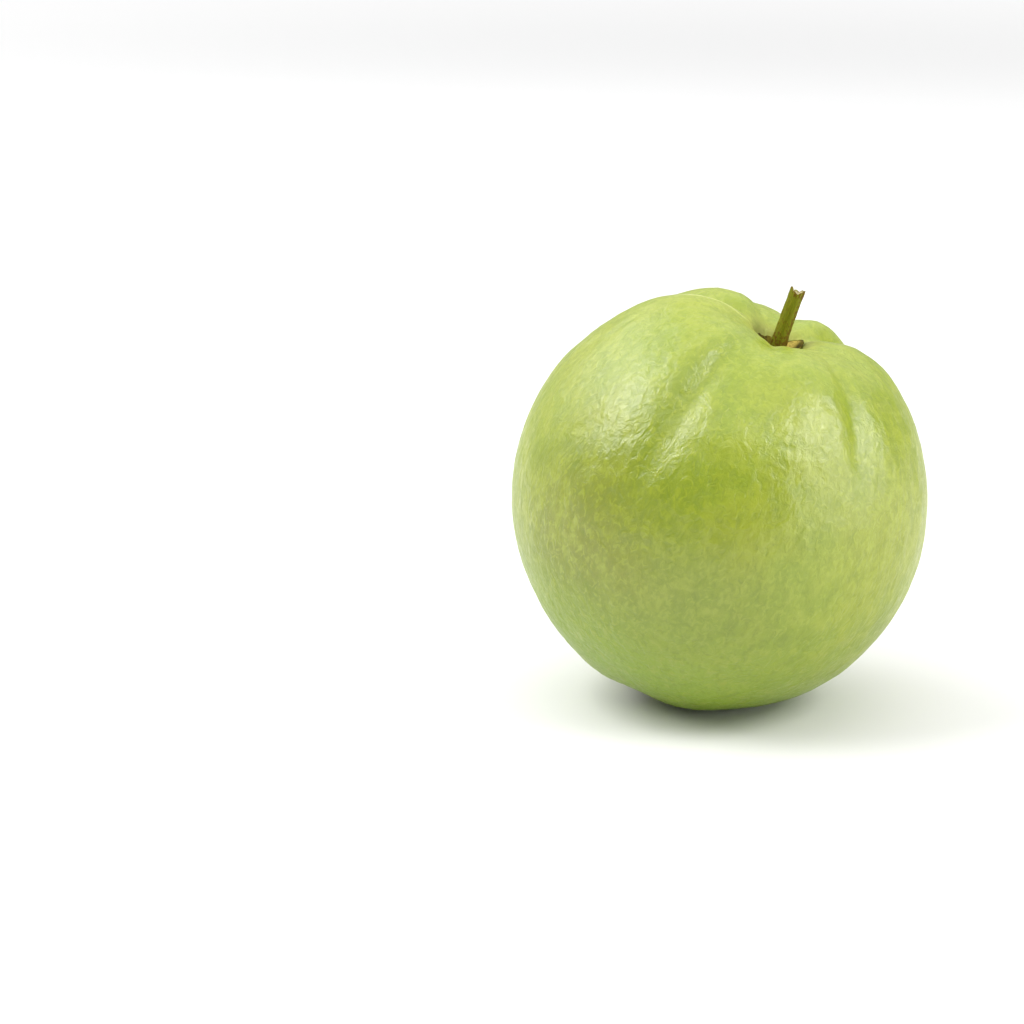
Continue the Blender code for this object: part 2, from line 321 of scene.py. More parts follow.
def crest_line(down, turn, aside=0.0, width=CREST_WIDTH):
    """1 along the left lobe's crest, or at some degrees of turn beside it, and 0 elsewhere."""
    middle = np.interp(down, *np.array(CREST).T) + aside
    reach = ramp(CREST_START, CREST_FULL, down) * (1 - ramp(CREST_FADE, CREST_END, down))
    return bell(turn_between(turn, middle), width) * reach


def smooth_skin(down, turn):
    """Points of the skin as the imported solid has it, in the fruit's own frame."""
    down, turn = np.broadcast_arrays(np.asarray(down, float), np.asarray(turn, float))
    tilt, angle = np.radians(down), np.radians(turn)
    swell = np.where(down < 90, SHOULDER_SWELL, BASE_SWELL)
    swell = swell * (np.cos(2 * tilt) + np.cos(4 * tilt))
    reach = FRUIT_RADIUS * (1 + STEM_END_SWELL * np.cos(tilt) - swell)
    radius, height = reach * np.sin(tilt), reach * np.cos(tilt)
    hollow = FUNNEL_DEPTH * bell(radius, FUNNEL_WIDTH)
    hollow = hollow + THROAT_DEPTH * plateau(radius, THROAT_WIDTH)
    height = height + np.where(down < 90, -hollow, BASIN_DEPTH * plateau(radius, BASIN_WIDTH))
    points = np.stack([radius * np.cos(angle), radius * np.sin(angle), height], axis=-1)
    ribs = RIB_HEIGHT * np.cos(RIB_COUNT * angle) * ramp(RIB_START, RIB_FULL, down)
    ribs = ribs * (1 - ramp(RIB_FADE, RIB_END, down))
    change = ribs + HEEL_HEIGHT * bell(degrees_apart(down, turn, HEEL_DOWN, 0), HEEL_SPREAD)
    lumps = sum(height * noise_at(points, rate) for height, rate in LUMPS)
    change = change + lumps * ramp(LUMPS_START, LUMPS_FULL, down)
    change = change + swell_height(LOBES, down, turn) - groove_depth(down, turn)
    return points + outward(points) * change[..., None]


def outward(points):
    return points / np.linalg.norm(points, axis=-1, keepdims=True)


def skin_relief(points, down, turn, look):
    """How far the wrinkles stand out of the smooth skin."""
    stretched = points * np.array([1.0, 1.0, MERIDIAN_STRETCH])
    dents = sum(height * noise_at(points, rate) for height, rate in DENTS)
    from_line = np.abs(noise_at(stretched, RIDGES_PER_METRE))
    ridges = RIDGE_HEIGHT * bell(from_line, RIDGE_WIDTH)
    angle = np.radians(turn)
    round_core = np.stack(
        [STREAKS_ROUND * np.cos(angle), STREAKS_ROUND * np.sin(angle), down / STREAK_LENGTH],
        axis=-1,
    )
    streaks = STREAK_HEIGHT * noise_at(round_core, 1.0)
    streaks = streaks * ramp(STREAK_START, STREAK_FULL, down)
    streaks = streaks * (1 - ramp(STREAK_FADE, STREAK_END, down))
    puckers = PUCKER_HEIGHT * np.cos(PUCKER_COUNT * angle + 2 * np.sin(2 * angle))
    puckers = puckers * bell(down - PUCKER_DOWN, PUCKER_SPREAD)
    wrinkles = (dents + ridges + streaks) * look.relief * ramp(LUMPS_START, LUMPS_FULL, down)
    lines = CREST_HEIGHT * crest_line(down, turn) - swell_height(CREASES, down, turn)
    return wrinkles + puckers + look.relief * lines


def crowded(share):
    """Degrees down from the stem end, closer together towards both ends."""
    return 180 * share - 180 * RING_CROWDING * np.sin(2 * np.pi * share) / (2 * np.pi)


def fruit_frame():
    """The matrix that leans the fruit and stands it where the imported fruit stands."""
    turned = np.array(Euler((0, LEAN, 0)).to_matrix())
    down = crowded(np.linspace(0, 1, BOX_RINGS))[:, None]
    points = smooth_skin(down, np.arange(0, 360, BOX_STEP)[None, :]) @ turned.T
    low, high = points.min(axis=(0, 1)), points.max(axis=(0, 1))
    cad_low, cad_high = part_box("fruit")
    place = Vector(
        (
            (cad_low.x + cad_high.x - low[0] - high[0]) / 2,
            (cad_low.y + cad_high.y - low[1] - high[1]) / 2,
            cad_high.z - high[2],
        )
    )
    return Matrix.Translation(place) @ Matrix.Rotation(LEAN, 4, "Y")


def mesh_from_rings(name, rings, start=None, end=None, joined=False):
    """A mesh of quads between closed rings, closed by points at its ends or joined round."""
    rows, sides = rings.shape[:2]
    vertices = [tuple(point) for point in rings.reshape(-1, 3)]
    faces = []
    for row in range(rows if joined else rows - 1):
        upper, lower = row * sides, (row + 1) % rows * sides
        for i in range(sides):
            j = (i + 1) % sides
            faces.append((upper + i, lower + i, lower + j, upper + j))
    for tip, first, flip in ((start, 0, False), (end, (rows - 1) * sides, True)):
        if tip is None:
            continue
        vertices.append(tuple(tip))
        for i in range(sides):
            pair = (first + i, first + (i + 1) % sides)
            faces.append((*(pair[::-1] if flip else pair), len(vertices) - 1))
    mesh = bpy.data.meshes.new(name)
    mesh.from_pydata(vertices, [], faces)
    mesh.update()
    mesh.shade_smooth()
    return mesh


def add_values(mesh, name, values, start=0.0, end=0.0):
    """Stores one number for each point of the mesh, for its material to read."""
    stored = mesh.attributes.new(name, "FLOAT", "POINT")
    values = list(np.asarray(values, float).ravel())
    extra = len(mesh.vertices) - len(values)
    stored.data.foreach_set("value", values + [start, end][:extra])


def finished_piece(name, mesh, material, node):
    """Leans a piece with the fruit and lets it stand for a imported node."""
    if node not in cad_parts:
        raise RuntimeError(f"the packed model has no node {node}")
    old = bpy.data.objects.get(name)
    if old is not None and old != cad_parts[node]:
        bpy.data.objects.remove(old)
    piece = bpy.data.objects.new(name, mesh)
    mesh.materials.append(material)
    bpy.context.scene.collection.objects.link(piece)
    mesh.transform(fruit_frame())
    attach(piece, "root")
    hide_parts(node)


def add_node(tree, kind, sockets, **settings):
    """Adds a shader node. A socket takes a value or another node's output."""
    made = tree.nodes.new("ShaderNode" + kind)
    for name, value in settings.items():
        setattr(made, name, value)
    for name, value in sockets.items():
        if isinstance(value, bpy.types.NodeSocket):
            tree.links.new(value, made.inputs[name])
        else:
            made.inputs[name].default_value = value
    return made


def value_of(tree, name):
    """A number that the mesh holds for each point."""
    return add_node(tree, "Attribute", {}, attribute_name=name).outputs["Fac"]


def math_of(tree, operation, *values):
    return add_node(tree, "Math", dict(enumerate(values)), operation=operation).outputs[0]


def share_of(tree, value, low, high, least=0.0, most=1.0):
    """A smooth rise from least to most as the value goes from low to high."""
    sockets = {"Value": value, "From Min": low, "From Max": high, "To Min": least, "To Max": most}
    return add_node(tree, "MapRange", sockets, interpolation_type="SMOOTHSTEP").outputs[0]


def noise_of(tree, place, per_metre, detail=2.0, roughness=0.5, distortion=0.0):
    sockets = {
        "Vector": place, "Scale": per_metre, "Detail": detail, "Roughness": roughness,
        "Distortion": distortion,
    }
    return add_node(tree, "TexNoise", sockets).outputs["Fac"]


def mixed(tree, share, first, second):
    """A colour between two others. Colours are outputs or (red, green, blue)."""
    made = tree.nodes.new("ShaderNodeMix")
    made.data_type = "RGBA"
    for index, value in ((0, share), (6, first), (7, second)):
        if isinstance(value, bpy.types.NodeSocket):
            tree.links.new(value, made.inputs[index])
        else:
            made.inputs[index].default_value = (*value, 1) if index else value
    return made.outputs[2]


def own_place(tree):
    """Coordinates in the fruit's own frame, where the core is the Z axis."""
    lie = fruit_frame()
    sockets = {
        "Vector": add_node(tree, "TexCoord", {}).outputs["Object"],
        "Location": lie.translation,
        "Rotation": lie.to_euler(),
    }
    return add_node(tree, "Mapping", sockets, vector_type="TEXTURE").outputs[0]


def raised(tree, height):
    """The normal of a surface with the given height, in metres."""
    sockets = {"Height": height, "Distance": 1.0, "Strength": 1.0}
    return add_node(tree, "Bump", sockets).outputs["Normal"]


def new_material(name):
    """An empty material with its Principled shader."""
    material = bpy.data.materials.new(name)
    material.use_nodes = True
    tree = material.node_tree
    return material, tree, tree.nodes["Principled BSDF"]


def skin_material(look):
    """Waxy green skin: soft crinkled folds, pale mottling and specks, a riper patch, a painted
    shadow with a painted yellow glow at the lower left, painted shade in the grooves and a painted
    highlight on the left lobe's crest.
    """
    material, tree, shader = new_material("guava_skin")
    plain = own_place(tree)
    drawn = add_node(
        tree, "VectorMath", {0: plain, 1: (1, 1, look.stretch)}, operation="MULTIPLY"
    ).outputs[0]
    folds = noise_of(tree, drawn, look.folds, *FOLD_NOISE)
    wisps = noise_of(tree, drawn, look.wisps, *WISP_NOISE)
    grain = noise_of(tree, plain, GRAIN_PER_METRE)
    patches = noise_of(tree, plain, PATCHES_PER_METRE, 3.0, 0.55)
    mottle = noise_of(tree, drawn, MOTTLE_PER_METRE, 4.0, 0.7)

    colour = mixed(tree, share_of(tree, patches, *YELLOW_PATCHES), look.green, look.yellow_green)
    for share, tone in (
        # Darker, yellower skin: a painted shadow with a painted yellow reflected glow at the lower
        # left, and a riper patch on the right.
        (value_of(tree, "ripe_and_painted_shade"), look.ripe_and_painted_shade),
        (share_of(tree, mottle, *PALE_MOTTLE), look.pale_green),
        (share_of(tree, mottle, *DEEP_MOTTLE), look.deep_green),
        (value_of(tree, "base"), look.base_green),
        # Painted shade: darker green bands in the grooves and a strip beside the left lobe's crest.
        (value_of(tree, "painted_shade"), look.painted_shade_green),
        (value_of(tree, "throat"), look.throat_green),
        (share_of(tree, wisps, *DEEP_WISPS), look.deep_green),
        (share_of(tree, wisps, *PALE_WISPS), look.pale_green),
        (share_of(tree, grain, *PALE_GRAIN), look.pale_green),
        # A painted highlight along the left lobe's crest.
        (value_of(tree, "crest"), look.crest),
    ):
        colour = mixed(tree, share, colour, tone)
    tree.links.new(colour, shader.inputs["Base Color"])

    dull, glossy = look.roughness + DULL_GAPS, look.roughness - GLOSSY_WISPS
    gloss = share_of(tree, wisps, *GLOSS_OF_WISPS, dull, glossy)
    gloss = math_of(tree, "MULTIPLY_ADD", value_of(tree, "throat"), DULL_THROAT, gloss)
    tree.links.new(gloss, shader.inputs["Roughness"])
    shader.inputs["IOR"].default_value = look.index
    shader.inputs["Subsurface Weight"].default_value = look.translucency
    shader.inputs["Subsurface Radius"].default_value = FLESH_SPREAD
    shader.inputs["Subsurface Scale"].default_value = FLESH_DEPTH
    shader.inputs["Specular IOR Level"].default_value = look.wax
    height = math_of(tree, "MULTIPLY", folds, look.fold_depth)
    height = math_of(tree, "MULTIPLY_ADD", wisps, look.wisp_depth, height)
    height = math_of(tree, "MULTIPLY_ADD", grain, GRAIN_DEPTH, height)
    tree.links.new(raised(tree, height), shader.inputs["Normal"])
    return material


def stem_material(look):
    """Olive bark with fine fibres, brown specks by the foot and a pale torn end."""
    material, tree, shader = new_material("guava_stem")
    place = own_place(tree)
    drawn = add_node(
        tree, "VectorMath", {0: place, 1: (1, 1, FIBRE_STRETCH)}, operation="MULTIPLY"
    ).outputs[0]
    fibres = noise_of(tree, drawn, FIBRES_PER_METRE, 3.0, 0.6)
    specks = noise_of(tree, place, SPECKS_PER_METRE, 3.0, 0.6)
    colour = mixed(tree, share_of(tree, fibres, *LIGHT_FIBRES), look.olive, look.light_olive)
    brown = math_of(tree, "ADD", value_of(tree, "bark"), share_of(tree, specks, *BROWN_SPECKS))
    colour = mixed(tree, share_of(tree, brown, *BROWN_BARK), colour, look.bark)
    torn = share_of(tree, value_of(tree, "torn"), *PALE_TORN)
    colour = mixed(tree, torn, colour, look.pith)
    tree.links.new(colour, shader.inputs["Base Color"])
    shader.inputs["Roughness"].default_value = STEM_ROUGHNESS
    shader.inputs["Specular IOR Level"].default_value = DRY_SHINE
    height = math_of(tree, "MULTIPLY", fibres, FIBRE_DEPTH)
    height = math_of(tree, "MULTIPLY_ADD", specks, SPECK_DEPTH, height)
    tree.links.new(raised(tree, height), shader.inputs["Normal"])
    return material


def dry_material(name, dark, light, pale, per_metre):
    """Dried, cracked tissue: patches of two browns, darker cracks and a pale edge."""
    material, tree, shader = new_material(name)
    place = add_node(tree, "TexCoord", {}).outputs["Object"]
    patches = noise_of(tree, place, per_metre, 4.0, 0.65)
    cracks = noise_of(tree, place, per_metre * CRACK_FINENESS, 3.0, 0.6, 0.8)
    colour = mixed(tree, share_of(tree, patches, *LIGHT_PATCHES), dark, light)
    colour = mixed(tree, share_of(tree, value_of(tree, "edge"), *PALE_EDGE), colour, pale)
    colour = mixed(tree, share_of(tree, cracks, *DARK_CRACKS), colour, dark)
    tree.links.new(colour, shader.inputs["Base Color"])
    shader.inputs["Roughness"].default_value = DRY_ROUGHNESS
    shader.inputs["Specular IOR Level"].default_value = DRY_SHINE
    height = math_of(tree, "MULTIPLY", patches, DRY_PATCH_DEPTH)
    height = math_of(tree, "MULTIPLY_ADD", cracks, CRACK_DEPTH, height)
    tree.links.new(raised(tree, height), shader.inputs["Normal"])
    return material


def floor_material(look):
    material, tree, shader = new_material("studio_floor")
    place = add_node(tree, "TexCoord", {}).outputs["Object"]
    shade = noise_of(tree, place, FLOOR_SHADES_PER_METRE)
    pale = tuple(look.floor_colour)
    dim = tuple(FLOOR_DIMMING * part for part in pale)
    tree.links.new(mixed(tree, shade, pale, dim), shader.inputs["Base Color"])
    shader.inputs["Roughness"].default_value = FLOOR_ROUGHNESS
    shader.inputs["Specular IOR Level"].default_value = FLOOR_SHINE
    away = add_node(tree, "VectorMath", {0: place}, operation="LENGTH").outputs["Value"]
    glows = [share_of(tree, away, *ring, 0.0, look.far_glow) for ring in GLOW_RINGS]
    tree.links.new(math_of(tree, "ADD", *glows), shader.inputs["Emission Strength"])
    shader.inputs["Emission Color"].default_value = (1, 1, 1, 1)
    return material


def colour_property(name, description, default):
    return FloatVectorProperty(
        name=name, description=description, default=default, subtype="COLOR", size=3, min=0, max=1
    )


def length_property(name, description, default):
    return FloatProperty(
        name=name, description=description, default=default, unit="LENGTH", precision=6, min=0
    )


class GuavaSkinLook(bpy.types.PropertyGroup):
    sides: IntProperty(
        name="Points round the core", description="Fineness of the skin round the core",
        default=430, min=40,
    )
    rings: IntProperty(
        name="Rings", description="Rings of the skin from the stem end to the blossom end",
        default=230, min=30,
    )
    relief: FloatProperty(
        name="Relief", description="Strength of the modelled dents, ridges and streaks",
        default=1.0, min=0, max=3,
    )
    wisps: FloatProperty(
        name="Wisps to the metre", description="How many fine wisps of wrinkles fit in a metre",
        default=700.0, min=10,
    )
    folds: FloatProperty(
        name="Folds to the metre", description="How many soft folds fit in a metre",
        default=230.0, min=10,
    )
    stretch: FloatProperty(
        name="Stretch", description="Below 1 draws the wrinkles out along the core",
        default=0.7, min=0.1, max=1,
    )
    fold_depth: length_property("Fold depth", "Depth of the soft folds", 0.00052)
    wisp_depth: length_property("Wisp depth", "Depth of the fine wisps", 0.00018)
    green: colour_property("Green", "Main colour of the skin", (0.22, 0.295, 0.004))
    yellow_green: colour_property("Yellow green", "Broad riper patches", (0.26, 0.31, 0.004))
    # The colour of the painted shadow and yellow glow at the lower left, and of the riper patch on
    # the right.
    ripe_and_painted_shade: colour_property("Ripe", "The riper side", (0.185, 0.215, 0.001))
    pale_green: colour_property("Pale green", "Pale mottling and specks", (0.315, 0.365, 0.02))
    # The colour of the painted shade in the grooves and beside the left lobe's crest.
    painted_shade_green: colour_property("Groove green", "Grooves by the stem end", (0.185, 0.25, 0.001))
    base_green: colour_property("Base green", "The blossom end", (0.225, 0.34, 0.003))
    # The colour of the painted highlight along the left lobe's crest.
    crest: colour_property("Crest", "The thin pale crest of the left lobe", (0.55, 0.58, 0.2))
    throat_green: colour_property("Throat", "The hollow round the stem", (0.25, 0.25, 0.012))
    deep_green: colour_property("Deep green", "Mottling between the folds", (0.165, 0.23, 0.001))
    roughness: FloatProperty(
        name="Roughness", description="Mean roughness of the skin", default=0.375, min=0, max=1
    )
    index: FloatProperty(
        name="Index", description="Index of refraction of the wax", default=1.5, min=1, max=3
    )
    wax: FloatProperty(
        name="Wax", description="Shine of the waxy bloom", default=0.87, min=0, max=1
    )
    translucency: FloatProperty(
        name="Translucency", description="How much light goes through the skin into the flesh",
        default=0.25, min=0, max=1,
    )


class GuavaStemLook(bpy.types.PropertyGroup):
    sides: IntProperty(
        name="Points round the stem", description="Fineness round the stem", default=96, min=12
    )
    rings: IntProperty(
        name="Rings", description="Rings from the stem's foot to its torn end", default=90, min=8
    )
    olive: colour_property("Olive", "Main colour of the bark", (0.125, 0.145, 0.002))
    light_olive: colour_property("Light olive", "Raised fibres", (0.20, 0.20, 0.006))
    bark: colour_property("Bark brown", "Bark by the foot and on one side", (0.12, 0.072, 0.002))
    pith: colour_property("Pith", "The torn end", (0.50, 0.45, 0.25))


class GuavaScarLook(bpy.types.PropertyGroup):
    sides: IntProperty(
        name="Points round the collar", description="Fineness round the collar", default=240, min=24
    )
    rings: IntProperty(
        name="Rings", description="Rings from the inner to the outer edge", default=14, min=3
    )
    dark: colour_property("Dark cork", "Hollows and cracks", (0.055, 0.042, 0.003))
    light: colour_property("Light cork", "Dry cork", (0.15, 0.115, 0.008))
    edge: colour_property("Flake", "The torn flake", (0.50, 0.38, 0.08))


class GuavaCalyxLook(bpy.types.PropertyGroup):
    sides: IntProperty(
        name="Points round the calyx", description="Fineness round the calyx", default=240, min=30
    )
    rings: IntProperty(
        name="Rings", description="Rings from the foot to the tips of the sepals", default=14, min=3
    )
    dark: colour_property("Dark brown", "Hollows of the dried sepals", (0.07, 0.035, 0.012))
    light: colour_property("Light brown", "Ribs of the dried sepals", (0.21, 0.12, 0.05))
    edge: colour_property("Edge", "Curled dry edges", (0.33, 0.22, 0.11))


def brightness_property(name, description, default):
    return FloatProperty(name=name, description=description, default=default, min=0, soft_max=10)


class GuavaStageLook(bpy.types.PropertyGroup):
    elevation: FloatProperty(
        name="Camera elevation", description="How far the camera looks down on the fruit",
        default=math.radians(15.5), subtype="ANGLE", unit="ROTATION",
    )
    distance: length_property("Camera distance", "From the camera to the middle of the fruit", 0.85)
    left: brightness_property("Left softbox", "Brightness of the large softbox", 7.1)
    left_back: brightness_property("Left back", "Brightness of the softbox behind it", 1.85)
    right: brightness_property("Right window", "Brightness of the window-like softbox", 7.7)
    right_side: brightness_property("Right side", "Brightness of the softbox beside it", 8.2)
    right_low: brightness_property("Right low", "Brightness of the low strip at the right", 3.5)
    overhead: brightness_property("Overhead", "Brightness of the softbox overhead", 1.15)
    back: brightness_property("Back", "Brightness of the softbox behind the fruit", 1.1)
    front: brightness_property("Front", "Brightness of the softbox over the camera", 0.5)
    surround: brightness_property("Surround", "Brightness of the room above the horizon", 0.06)
    horizon: brightness_property("Horizon", "Brightness of the room at the horizon", 0.4)
    far_glow: brightness_property("Far glow", "Light that the floor adds far from the fruit", 0.4)
    floor_colour: colour_property("Floor", "Colour of the floor", (0.77, 0.77, 0.77))


class GUAVA_OT_fruit(bpy.types.Operator):
    """Build the wrinkled skin of the whole fruit"""

    bl_idname = "guava.fruit"
    bl_label = "Build Fruit"

    def execute(self, context):
        look = context.scene.guava_skin
        down = crowded(np.linspace(0, 1, look.rings + 2)[1:-1])[:, None]
        turn = np.linspace(0, 360, look.sides, endpoint=False)[None, :]
        down, turn = np.broadcast_arrays(down, turn)
        points = smooth_skin(down, turn)
        points = points + outward(points) * skin_relief(points, down, turn, look)[..., None]
        ends = [smooth_skin(end, 0) for end in (0, 180)]
        lie = fruit_frame()
        points = self.pressed(points, lie)
        mesh = mesh_from_rings("guava_skin", points, *ends)
        # Painted shade: darker green bands in the grooves, and a strip beside the left lobe's
        # crest.
        strip = crest_line(down, turn, SHADE_STRIP_TURN, SHADE_STRIP_WIDTH)
        green = swell_height(GROOVE_SHADE_BANDS, down, turn) + STRIP_PAINTED_SHADE * strip
        add_values(mesh, "painted_shade", green)
        # How strong the painted highlight along the left lobe's crest is.
        add_values(mesh, "crest", CREST_PAINTED_HIGHLIGHT * crest_line(down, turn))
        add_values(mesh, "base", ramp(*GREEN_BASE, down), 0.0, 1.0)
        add_values(mesh, "throat", plateau(down, THROAT_DOWN), 1.0)
        # A painted shadow with a painted yellow reflected glow at the lower left, and a weaker
        # riper patch on the right.
        ripe_and_painted_shade = sum(
            share * bell(degrees_apart(down, turn, *middle), spread)
            for *middle, spread, share in RIPE_AND_PAINTED_SHADE_SIDES
        )
        add_values(mesh, "ripe_and_painted_shade", ripe_and_painted_shade)
        finished_piece("guava_skin", mesh, skin_material(look), "fruit")
        return {"FINISHED"}

    def pressed(self, points, lie):
        """Flattens what would reach below the surface that the fruit rests on."""
        turned, place = np.array(lie.to_3x3()), np.array(lie.translation)
        placed = points @ turned.T + place
        placed[..., 2] = np.maximum(placed[..., 2], 0.0)
        return (placed - place) @ turned


class GUAVA_OT_stem(bpy.types.Operator):
    """Build the short stem with its fibres and torn end"""

    bl_idname = "guava.stem"
    bl_label = "Build Stem"

    def execute(self, context):
        look = context.scene.guava_stem
        foot = smooth_skin(0, 0)[2] - STEM_SINK
        dip = STEM_TOP - TORN_HEIGHT
        angle = np.linspace(0, 2 * np.pi, look.sides, endpoint=False)
        heights = np.linspace(foot, dip, look.rings)[:, None] * np.ones(look.sides)
        rings = [self.ring(height, angle, foot) for height in heights]
        splinters = TORN_HEIGHT * sum(
            share * (1 + np.cos(teeth * angle + phase)) / 2 for teeth, phase, share in TORN_TEETH
        )
        for wall, drop in TORN_RINGS:
            height = dip + splinters * (1 - SPLINTER_FALL * wall) + TORN_EDGE - drop
            rings.append(self.ring(height, angle, foot, wall))
        rings = np.array(rings)
        ends = (Vector((STEM_SHIFT, 0, foot)), Vector((self.middle(1.0), 0, dip - PITH_DEPTH)))
        mesh = mesh_from_rings("guava_stem", rings[::-1], ends[1], ends[0])
        share = (rings[::-1, :, 2] - foot) / (dip - foot)
        add_values(mesh, "bark", self.brown(share, np.degrees(angle)))
        torn = np.array(TORN_PALENESS[::-1] + [0] * look.rings)[:, None] * np.ones(look.sides)
        add_values(mesh, "torn", torn, 1.0)
        finished_piece("guava_stem", mesh, stem_material(look), "stem")
        return {"FINISHED"}

    def brown(self, share, turn):
        """How brown the stem is, from the share of its length and the turn round it."""
        foot, fade, bare = BROWN_FOOT
        middle, spread, side = BROWN_SIDE
        end, start = BROWN_END
        brown = foot * (1 - ramp(fade, bare, share))
        # Browner down one side of the stem.
        brown = brown + side * bell(turn_between(turn, middle), spread)[None, :]
        return brown + end * ramp(start, 1.0, share)

    def middle(self, share):
        """The middle of the stem, sideways, at a share of its length."""
        return STEM_SHIFT + STEM_LEAN * share + STEM_BEND * share * share

    def ring(self, height, angle, foot, narrowing=0.0):
        """One four-sided, ribbed ring of the stem."""
        share = (height - foot) / (STEM_TOP - foot)
        radius = STEM_RADIUS + STEM_FLARE * (1 - np.minimum(1, share / FLARE_END)) ** 2
        radius = radius * (1 + SQUARENESS * np.cos(4 * angle))
        radius = radius + sum(size * np.cos(count * angle + count) for count, size in FIBRES)
        bare = np.stack([radius * np.cos(angle), radius * np.sin(angle), height], axis=-1)
        radius = radius + KNOT_HEIGHT * noise_at(bare, KNOTS_PER_METRE)
        radius = radius * (1 - narrowing)
        side = self.middle(share) + radius * np.cos(angle)
        return np.stack([side, radius * np.sin(angle), height], axis=-1)


def skin_normals(down, turn, step=0.4):
    along = smooth_skin(down + step, turn) - smooth_skin(down - step, turn)
    across = smooth_skin(down, turn + step) - smooth_skin(down, turn - step)
    return outward(np.cross(along, across))


class GUAVA_OT_stem_scar(bpy.types.Operator):
    """Build the ragged corky collar round the stem's foot, with its torn flake"""

    bl_idname = "guava.stem_scar"
    bl_label = "Build Collar"

    def execute(self, context):
        look = context.scene.guava_scar
        share = np.linspace(0, 1, look.rings)[:, None]
        turn = np.linspace(0, 360, look.sides, endpoint=False)[None, :]
        angle = np.radians(turn)
        inner = COLLAR_INNER + COLLAR_SHIFT * np.cos(angle)
        flake = bell(turn_between(turn, FLAKE_TURN), FLAKE_SPREAD)
        ragged = sum(part * np.sin(count * angle + phase) for count, phase, part in COLLAR_WAVES)
        outer = COLLAR_OUTER + COLLAR_RAGGED * ragged + FLAKE_REACH * flake
        teeth, waves, swells = COLLAR_TEETH
        outer = outer + teeth * np.sin(waves * angle) * np.sin(swells * angle)
        down, turn = np.broadcast_arrays(inner + (outer - inner) * share, turn)
        skin, normals = smooth_skin(down, turn), skin_normals(down, turn)
        lift = GAP + FLAKE_LIFT * flake * share**3
        thickness = COLLAR_THICKNESS * (1 - COLLAR_TAPER * share)
        rough = sum(height * noise_at(skin, rate) for height, rate in COLLAR_GRAIN)
        below = skin + normals * lift[..., None]
        above = skin + normals * (lift + thickness + rough)[..., None]
        mesh = mesh_from_rings("guava_collar", np.concatenate([above, below[::-1]]), joined=True)
        pale = bell(turn_between(turn, FLAKE_PALE_TURN), FLAKE_PALE_SPREAD)
        pale = pale * ramp(FLAKE_PALE_START, FLAKE_PALE_FULL, share)
        pale = pale * (1 - ramp(FLAKE_TIP, 1.0, share))
        add_values(mesh, "edge", np.concatenate([pale, pale[::-1]]))
        colours = (look.dark, look.light, look.edge)
        material = dry_material("guava_cork", *colours, COLLAR_PATCHES_PER_METRE)
        finished_piece("guava_collar", mesh, material, "stem_scar")
        return {"FINISHED"}


class GUAVA_OT_calyx(bpy.types.Operator):
    """Build the dried calyx of five withered sepals at the blossom end"""

    bl_idname = "guava.calyx"
    bl_label = "Build Calyx"

    def execute(self, context):
        look = context.scene.guava_calyx
        share = np.linspace(0, 1, look.rings)[:, None]
        turn = np.linspace(0, 360, look.sides, endpoint=False)[None, :]
        angle = np.radians(turn)
        tip = np.abs(np.cos(SEPALS * angle / 2)) ** SEPAL_POINT
        reach = (TUBE_LENGTH + SEPAL_LENGTH * tip) * share
        splay = SEPAL_SPLAY * tip * share * share
        foot = smooth_skin(CALYX_DOWN, turn)
        away = np.stack([np.cos(angle), np.sin(angle), np.zeros_like(angle)], axis=-1)
        core = np.array([0.0, 0.0, 1.0])
        outer = foot + away * splay[..., None] - core * (reach + GAP)[..., None]
        rough = CALYX_GRAIN * noise_at(outer, CALYX_GRAIN_PER_METRE) * share
        outer = outer + away * rough[..., None]
        thickness = SEPAL_THICKNESS * (1 - SEPAL_TAPER * share)
        inner = outer - away * thickness[..., None]
        mesh = mesh_from_rings("guava_calyx", np.concatenate([outer, inner[::-1]]), joined=True)
        edge = ramp(CALYX_EDGE, 1.0, share) * np.ones_like(turn)
        add_values(mesh, "edge", np.concatenate([edge, edge[::-1]]))
        colours = (look.dark, look.light, look.edge)
        material = dry_material("guava_calyx", *colours, CALYX_PATCHES_PER_METRE)
        finished_piece("guava_calyx", mesh, material, "calyx")
        return {"FINISHED"}


